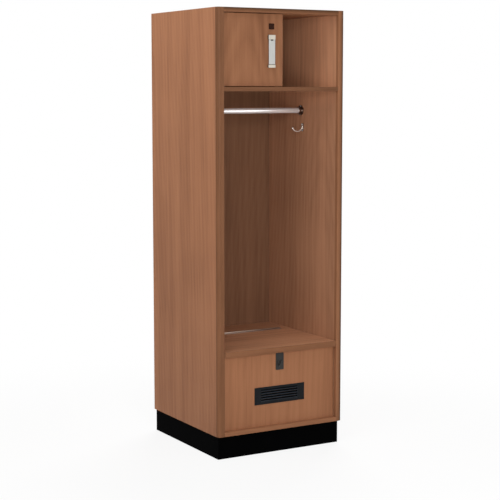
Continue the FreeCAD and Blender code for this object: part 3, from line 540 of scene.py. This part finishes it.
def metal(name, colour, roughness, brushed, seed, bare, change=None):
    """Plated or lacquered metal with fine scratches drawn out along one axis."""
    shader = Shader(name, {"Metallic": bare})
    offset = tuple(seed * step for step in METAL_SEED_STEP)
    brushing = shader.stretched(along_axis(brushed, *BRUSH_SCALE), offset)
    scratch = shader.noise(brushing, BRUSH_DETAIL, FINE_ROUGHNESS)
    cloud = shader.noise(shader.stretched((METAL_CLOUD_SCALE,) * 3, offset))
    tone = shader.maths("MULTIPLY", shader.maths("ADD", scratch, cloud), 0.5)
    plain = shader.changed_beyond(colour, change)
    base = shader.mixed(shader.spread(tone, *METAL_DULL_LEVELS), plain, METAL_DULL, "MULTIPLY")
    shader.paint("Base Color", shader.mixed(shader.worn_edges(METAL_WEAR_RADIUS), base, plain))
    smoothest = roughness * METAL_SMOOTHEST
    roughest = roughness * METAL_ROUGHEST
    shader.paint("Roughness", shader.spread(tone, *NOISE_LEVELS, smoothest, roughest))
    shader.bump(scratch, BRUSH_DEPTH)
    return shader.material


def coated(name, colour, roughness, worn, shine, change=None, fade=None):
    """Paint or moulded plastic with a fine texture, a little lighter where edges rub, and with painted shade
    deeper in where a fade is given.
    """
    shader = Shader(name, {"Specular IOR Level": shine})
    texture = shader.noise(shader.stretched((COAT_SCALE,) * 3), roughness=FINE_ROUGHNESS)
    cloud = shader.noise(shader.stretched((COAT_CLOUD_SCALE,) * 3), COAT_CLOUD_DETAIL)
    plain = shader.changed_beyond(colour, change)
    base = shader.mixed(shader.spread(cloud, *COAT_DARK_LEVELS), plain, COAT_DARKER, "MULTIPLY")
    # Painted shade: darker towards black deeper behind the front
    base = shader.with_painted_recess_shade(base, fade)
    patches = shader.spread(cloud, *COAT_RUB_LEVELS, *COAT_RUB_SHARES)
    rub = shader.maths("MULTIPLY", shader.worn_edges(COAT_WEAR_RADIUS), patches)
    shader.paint("Base Color", shader.mixed(rub, base, worn))
    smoothest = roughness - COAT_ROUGHNESS_SWING
    roughest = roughness + COAT_ROUGHNESS_SWING
    shader.paint("Roughness", shader.spread(texture, *NOISE_LEVELS, smoothest, roughest))
    shader.bump(texture, COAT_DEPTH)
    return shader.material


def make_finishes():
    """Every finish of the hardware by name."""
    slat_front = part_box("vent_grille")[0].y + SLAT_SETBACK
    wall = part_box("coat_hook")[1].x
    changes = {
        "vent_black": ("Y", slat_front, SLAT_COLOUR),
        "polished_hook": ("X", wall - HOOK_BASE, HOOK_BASE_COLOUR),
    }
    # Painted shade in the vent's slats, from their front back to black
    painted_recess_shades = {"vent_black": (slat_front, slat_front + SLAT_SHADE_DEPTH)}
    finishes = {}
    for name, traits in METALS.items():
        finishes[name] = metal(name, *traits, changes.get(name))
    for name, traits in COATS.items():
        finishes[name] = coated(name, *traits, changes.get(name), painted_recess_shades.get(name))
    return finishes


# Dressing of the CAD nodes

def dress(name, material):
    for place in nodes[name].material_slots:
        place.material = material


def round_edges(part, width, segments):
    bevel = part.modifiers.new("eased_edges", "BEVEL")
    bevel.width = width
    bevel.segments = segments
    bevel.limit_method = "ANGLE"
    bevel.angle_limit = math.radians(EASED_ANGLE)
    bevel.harden_normals = True


def ease(name, width):
    """Rounds a node's sharp edges a little and keeps its flat faces evenly shaded."""
    part = nodes[name]
    weld = part.modifiers.new("weld", "WELD")
    weld.merge_threshold = WELD_REACH
    flat = part.modifiers.new("flat_faces", "DECIMATE")
    flat.decimate_type = "DISSOLVE"
    flat.angle_limit = math.radians(FLAT_ANGLE)
    round_edges(part, width, EASE_SEGMENTS)
    even = part.modifiers.new("even_faces", "WEIGHTED_NORMAL")
    even.weight = FACE_WEIGHT


def dress_wood():
    """Wood on every board. The dowels are hidden and the edge bands are thin, so these stay sharp."""
    for name, traits in BOARDS.items():
        dress(name, wood(name, *traits))
        if name != "carcass_dowels" and not name.endswith("_edge_band"):
            ease(name, BOARD_EASE)


def dress_hardware(finishes):
    for finish, names in FINISHED_NODES.items():
        for name in names:
            dress(name, finishes[finish])
    for name in EASED_PLATES:
        ease(name, PLATE_EASE)


# Modelled hardware

def make_piece(name, form, materials, body, slot, *stands_for):
    """An object of the form, riding on a body in place of some nodes."""
    bmesh.ops.recalc_face_normals(form, faces=form.faces)
    mesh = bpy.data.meshes.new(name)
    form.to_mesh(mesh)
    form.free()
    for material in materials:
        mesh.materials.append(material)
    mesh.shade_smooth()
    mesh.set_sharp_from_angle(angle=math.radians(EASED_ANGLE))
    piece = bpy.data.objects.new(name, mesh)
    bpy.context.scene.collection.objects.link(piece)
    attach(piece, body)
    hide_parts(*stands_for)
    return piece


def separate_solids(mesh):
    """The corner points of each solid in a mesh."""
    form = bmesh.new()
    form.from_mesh(mesh)
    bmesh.ops.remove_doubles(form, verts=form.verts, dist=WELD_REACH)
    form.verts.index_update()
    seen = set()
    solids = []
    for first in form.verts:
        if first.index in seen:
            continue
        seen.add(first.index)
        waiting = [first]
        points = []
        while waiting:
            corner = waiting.pop()
            points.append(corner.co.copy())
            for edge in corner.link_edges:
                other = edge.other_vert(corner)
                if other.index not in seen:
                    seen.add(other.index)
                    waiting.append(other)
        solids.append(points)
    form.free()
    return solids


def screw_place(points):
    """The middle of a screw's head, the way it points, its length, and the radii of its head and shank."""
    low = Vector([min(point[i] for point in points) for i in range(3)])
    high = Vector([max(point[i] for point in points) for i in range(3)])
    size = high - low
    axis = max(range(3), key=lambda i: size[i])
    ends = []
    for level in (low[axis], high[axis]):
        middle = (low + high) / 2
        middle[axis] = level
        radius = max((point - middle).length for point in points if abs(point[axis] - level) < WELD_REACH)
        ends.append((radius, middle))
    (shank, tip), (head, crown) = sorted(ends, key=lambda end: end[0])
    return crown, (tip - crown).normalized(), size[axis], head, shank


def cross_outline(head):
    """The outline of a cross recess in a head of this radius."""
    reach = head * RECESS_REACH
    half = head * RECESS_HALF_WIDTH
    arm = [(reach, -half), (reach, half), (half, half)]
    outline = []
    for quarter in range(4):
        swing = Matrix.Rotation(math.radians(90 * quarter), 2)
        outline += [swing @ Vector(point) for point in arm]
    return outline


def add_screw(form, place, turn, material):
    """A countersunk wood screw with a cross recess."""
    crown, along, length, head, shank = place
    matrix = along.to_track_quat("Z", "Y").to_matrix() @ Matrix.Rotation(turn, 3, "Z")

    def corner(x, y, deep):
        return form.verts.new(crown + matrix @ Vector((x, y, deep)))

    def skin(*corners):
        form.faces.new(corners).material_index = material

    profile = [(head * SCREW_TOP, 0.0), (head * SCREW_RIM, SCREW_RIM_DEPTH), (shank, SCREW_HEAD_DEPTH),
               (shank, length - SCREW_POINT), (shank * SCREW_TIP, length)]
    angles = [2 * math.pi * step / SCREW_SIDES for step in range(SCREW_SIDES)]
    rings = []
    for radius, deep in profile:
        rings.append([corner(radius * math.cos(a), radius * math.sin(a), deep) for a in angles])
    for upper, lower in zip(rings, rings[1:]):
        for step in range(SCREW_SIDES):
            after = (step + 1) % SCREW_SIDES
            skin(upper[step], upper[after], lower[after], lower[step])
    skin(*rings[-1])
    outline = cross_outline(head)
    mouth = [corner(point.x, point.y, 0.0) for point in outline]
    floor = [corner(point.x * RECESS_TAPER, point.y * RECESS_TAPER, RECESS_DEPTH) for point in outline]
    for step in range(len(outline)):
        after = (step + 1) % len(outline)
        skin(mouth[step], mouth[after], floor[after], floor[step])
    flat_ring = [Vector((math.cos(a), math.sin(a), 0.0)) * head * SCREW_TOP for a in angles]
    flat_mouth = [Vector((point.x, point.y, 0.0)) for point in outline]
    around = rings[0] + mouth
    for triangle in tessellate_polygon([flat_ring, flat_mouth]):
        skin(*(around[index] for index in triangle))
    for triangle in tessellate_polygon([flat_mouth]):
        skin(*(floor[index] for index in triangle))


def make_screws(name, body, finishes):
    """Screws where the node has them. Those in the vent are black, the rest zinc."""
    form = bmesh.new()
    low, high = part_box("vent_grille")
    zinc, black = range(2)
    for count, points in enumerate(separate_solids(nodes[name].data)):
        place = screw_place(points)
        crown = place[0]
        in_vent = all(low[i] - WELD_REACH <= crown[i] <= high[i] + WELD_REACH for i in range(3))
        add_screw(form, place, count * SCREW_TURN_RADIANS, black if in_vent else zinc)
    materials = [finishes["zinc_screws"], finishes["vent_black"]]
    make_piece(name + "_cross_head", form, materials, body, "screw_steel", name)


def add_plate(form, columns, rows, gaps, front, rear, material):
    """An upright plate of grid cells, with some cells left open."""
    filled = {(i, j) for i in range(len(columns) - 1) for j in range(len(rows) - 1)} - set(gaps)
    corners = {}

    def corner(i, j, deep):
        key = (i, j, deep)
        if key not in corners:
            corners[key] = form.verts.new((columns[i], rear if deep else front, rows[j]))
        return corners[key]

    def skin(*places):
        form.faces.new([corner(*place) for place in places]).material_index = material

    for i, j in sorted(filled):
        for deep in (0, 1):
            skin((i, j, deep), (i + 1, j, deep), (i + 1, j + 1, deep), (i, j + 1, deep))
        sides = [
            ((i - 1, j), (i, j), (i, j + 1)),
            ((i + 1, j), (i + 1, j), (i + 1, j + 1)),
            ((i, j - 1), (i, j), (i + 1, j)),
            ((i, j + 1), (i, j + 1), (i + 1, j + 1)),
        ]
        for beside, first, last in sides:
            if beside not in filled:
                skin((*first, 0), (*last, 0), (*last, 1), (*first, 1))


def make_pull(finishes):
    """A flat silver grip between two cream end caps on dark feet, with a slot under the upper cap. The dark
    feet also stand in for the shade under the grip, and the dark groove and the dark plate behind the slot
    are painted shade.
    """
    silver, cream, dark = range(3)
    low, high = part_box("door_pull")
    form = bmesh.new()
    cap_top = high.z - PULL_CAP
    cap_low = low.z + PULL_FOOT_CAP
    cap_rear = low.y + PULL_BAR
    back = cap_rear - PULL_STEP
    middle = (low.x + high.x) / 2
    inner = [low.x + PULL_WAIST, high.x - PULL_WAIST]
    for bottom, top in ((cap_top, high.z), (low.z, cap_low)):
        add_plate(form, [low.x, high.x], [bottom, top], (), low.y, cap_rear, cream)
        add_plate(form, inner, [bottom + PULL_STEP, top - PULL_STEP], (), back, high.y, dark)
    slot = [middle - PULL_SLOT / 2, middle + PULL_SLOT / 2]
    rows = [cap_low + PULL_GROOVE, cap_top - PULL_SLOT_WIDTH, cap_top + PULL_LAP]
    add_plate(form, [inner[0], *slot, inner[1]], rows, [(1, 1)], low.y + PULL_STEP, back, silver)
    groove = [cap_low - PULL_LAP, rows[0] + PULL_LAP]
    # Painted shade: a dark plate in the groove and another behind the slot
    add_plate(form, inner, groove, (), low.y + PULL_GROOVE_DEPTH, back, dark)
    add_plate(form, slot, [rows[1] - PULL_LAP, rows[2]], (), back, cap_rear + PULL_STEP, dark)
    materials = [finishes["satin_aluminium"], finishes["warm_nickel_caps"], finishes["pull_feet_and_painted_shade"]]
    pull = make_piece("door_pull_grip", form, materials, "door", "pull_satin", "door_pull")
    round_edges(pull, PULL_EASE, PULL_EASE_SEGMENTS)


# Studio

def seen_directly(tree):
    """1 for what the camera sees, straight or in metal and glass, and 0 for light on the object."""
    path = tree.node("ShaderNodeLightPath").outputs
    straight = tree.maths("MAXIMUM", path["Is Camera Ray"], path["Is Glossy Ray"])
    return tree.maths("MAXIMUM", straight, path["Is Transmission Ray"])


def make_room():
    world = bpy.data.worlds.new("studio")
    bpy.context.scene.world = world
    world.use_nodes = True
    tree = NodeTree(world.node_tree)
    output = tree.node("ShaderNodeOutputWorld")
    mix = tree.node("ShaderNodeMixShader")
    tree.feed(mix.inputs["Fac"], seen_directly(tree))
    for socket, strength in ((mix.inputs[1], ROOM_FILL), (mix.inputs[2], BACKDROP_LEVEL)):
        background = tree.node("ShaderNodeBackground")
        background.inputs["Color"].default_value = WHITE
        background.inputs["Strength"].default_value = strength
        tree.feed(socket, background.outputs["Background"])
    tree.feed(output.inputs["Surface"], mix.outputs["Shader"])


def floor_material():
    """A pale floor that glows white to the camera, less so near the object, where its shadow shows."""
    material = bpy.data.materials.new("pale_floor")
    material.use_nodes = True
    tree = NodeTree(material.node_tree)
    output = tree.node("ShaderNodeOutputMaterial")
    plain = tree.node("ShaderNodeBsdfDiffuse")
    plain.inputs["Color"].default_value = (FLOOR_WHITE, FLOOR_WHITE, FLOOR_WHITE, 1.0)
    glow = tree.node("ShaderNodeEmission")
    distance = tree.node("ShaderNodeVectorMath", operation="LENGTH")
    tree.feed(distance.inputs[0], tree.node("ShaderNodeTexCoord").outputs["Object"])
    levels = (FLOOR_GLOW_NEAR, FLOOR_GLOW_FAR)
    fade = tree.spread(distance.outputs["Value"], *FLOOR_GLOW_REACH, *levels, "SMOOTHSTEP")
    mix = tree.node("ShaderNodeMixShader")
    tree.feed(mix.inputs["Fac"], tree.maths("MULTIPLY", seen_directly(tree), fade))
    tree.feed(mix.inputs[1], plain.outputs["BSDF"])
    tree.feed(mix.inputs[2], glow.outputs["Emission"])
    tree.feed(output.inputs["Surface"], mix.outputs["Shader"])
    return material


def make_floor():
    half = FLOOR_SIZE / 2
    corners = [(-half, -half, 0), (half, -half, 0), (half, half, 0), (-half, half, 0)]
    mesh = bpy.data.meshes.new("floor")
    mesh.from_pydata(corners, [], [(0, 1, 2, 3)])
    mesh.materials.append(floor_material())
    floor = bpy.data.objects.new("floor", mesh)
    bpy.context.scene.collection.objects.link(floor)


def make_light(name, heading, rise, distance, aim, width, height, power):
    lamp = bpy.data.lights.new(name, "AREA")
    lamp.shape = "RECTANGLE"
    lamp.size = width
    lamp.size_y = height
    lamp.energy = power
    turn = math.radians(heading)
    climb = math.radians(rise)
    flat = math.cos(climb)
    away = Vector((-flat * math.sin(turn), -flat * math.cos(turn), math.sin(climb)))
    light = bpy.data.objects.new(name, lamp)
    light.location = Vector((0.0, 0.0, aim)) + away * distance
    light.rotation_euler = away.to_track_quat("Z", "Y").to_euler()
    bpy.context.scene.collection.objects.link(light)


def make_camera():
    lens = bpy.data.cameras.new("camera")
    lens.lens = CAMERA_LENS
    lens.sensor_width = SENSOR_WIDTH
    camera = bpy.data.objects.new("camera", lens)
    camera.location = CAMERA_PLACE
    camera.rotation_euler = (math.radians(90 - CAMERA_DIP), 0.0, math.radians(-CAMERA_HEADING))
    bpy.context.scene.collection.objects.link(camera)
    bpy.context.scene.camera = camera


bpy.context.scene.view_settings.view_transform = "Standard"
dress_wood()
hardware_finishes = make_finishes()
dress_hardware(hardware_finishes)
for screw_node, screw_body in SCREW_BODIES.items():
    make_screws(screw_node, screw_body, hardware_finishes)
make_pull(hardware_finishes)
make_room()
make_floor()
for box_name, box_traits in SOFT_BOXES.items():
    make_light(box_name, *box_traits)
make_camera()
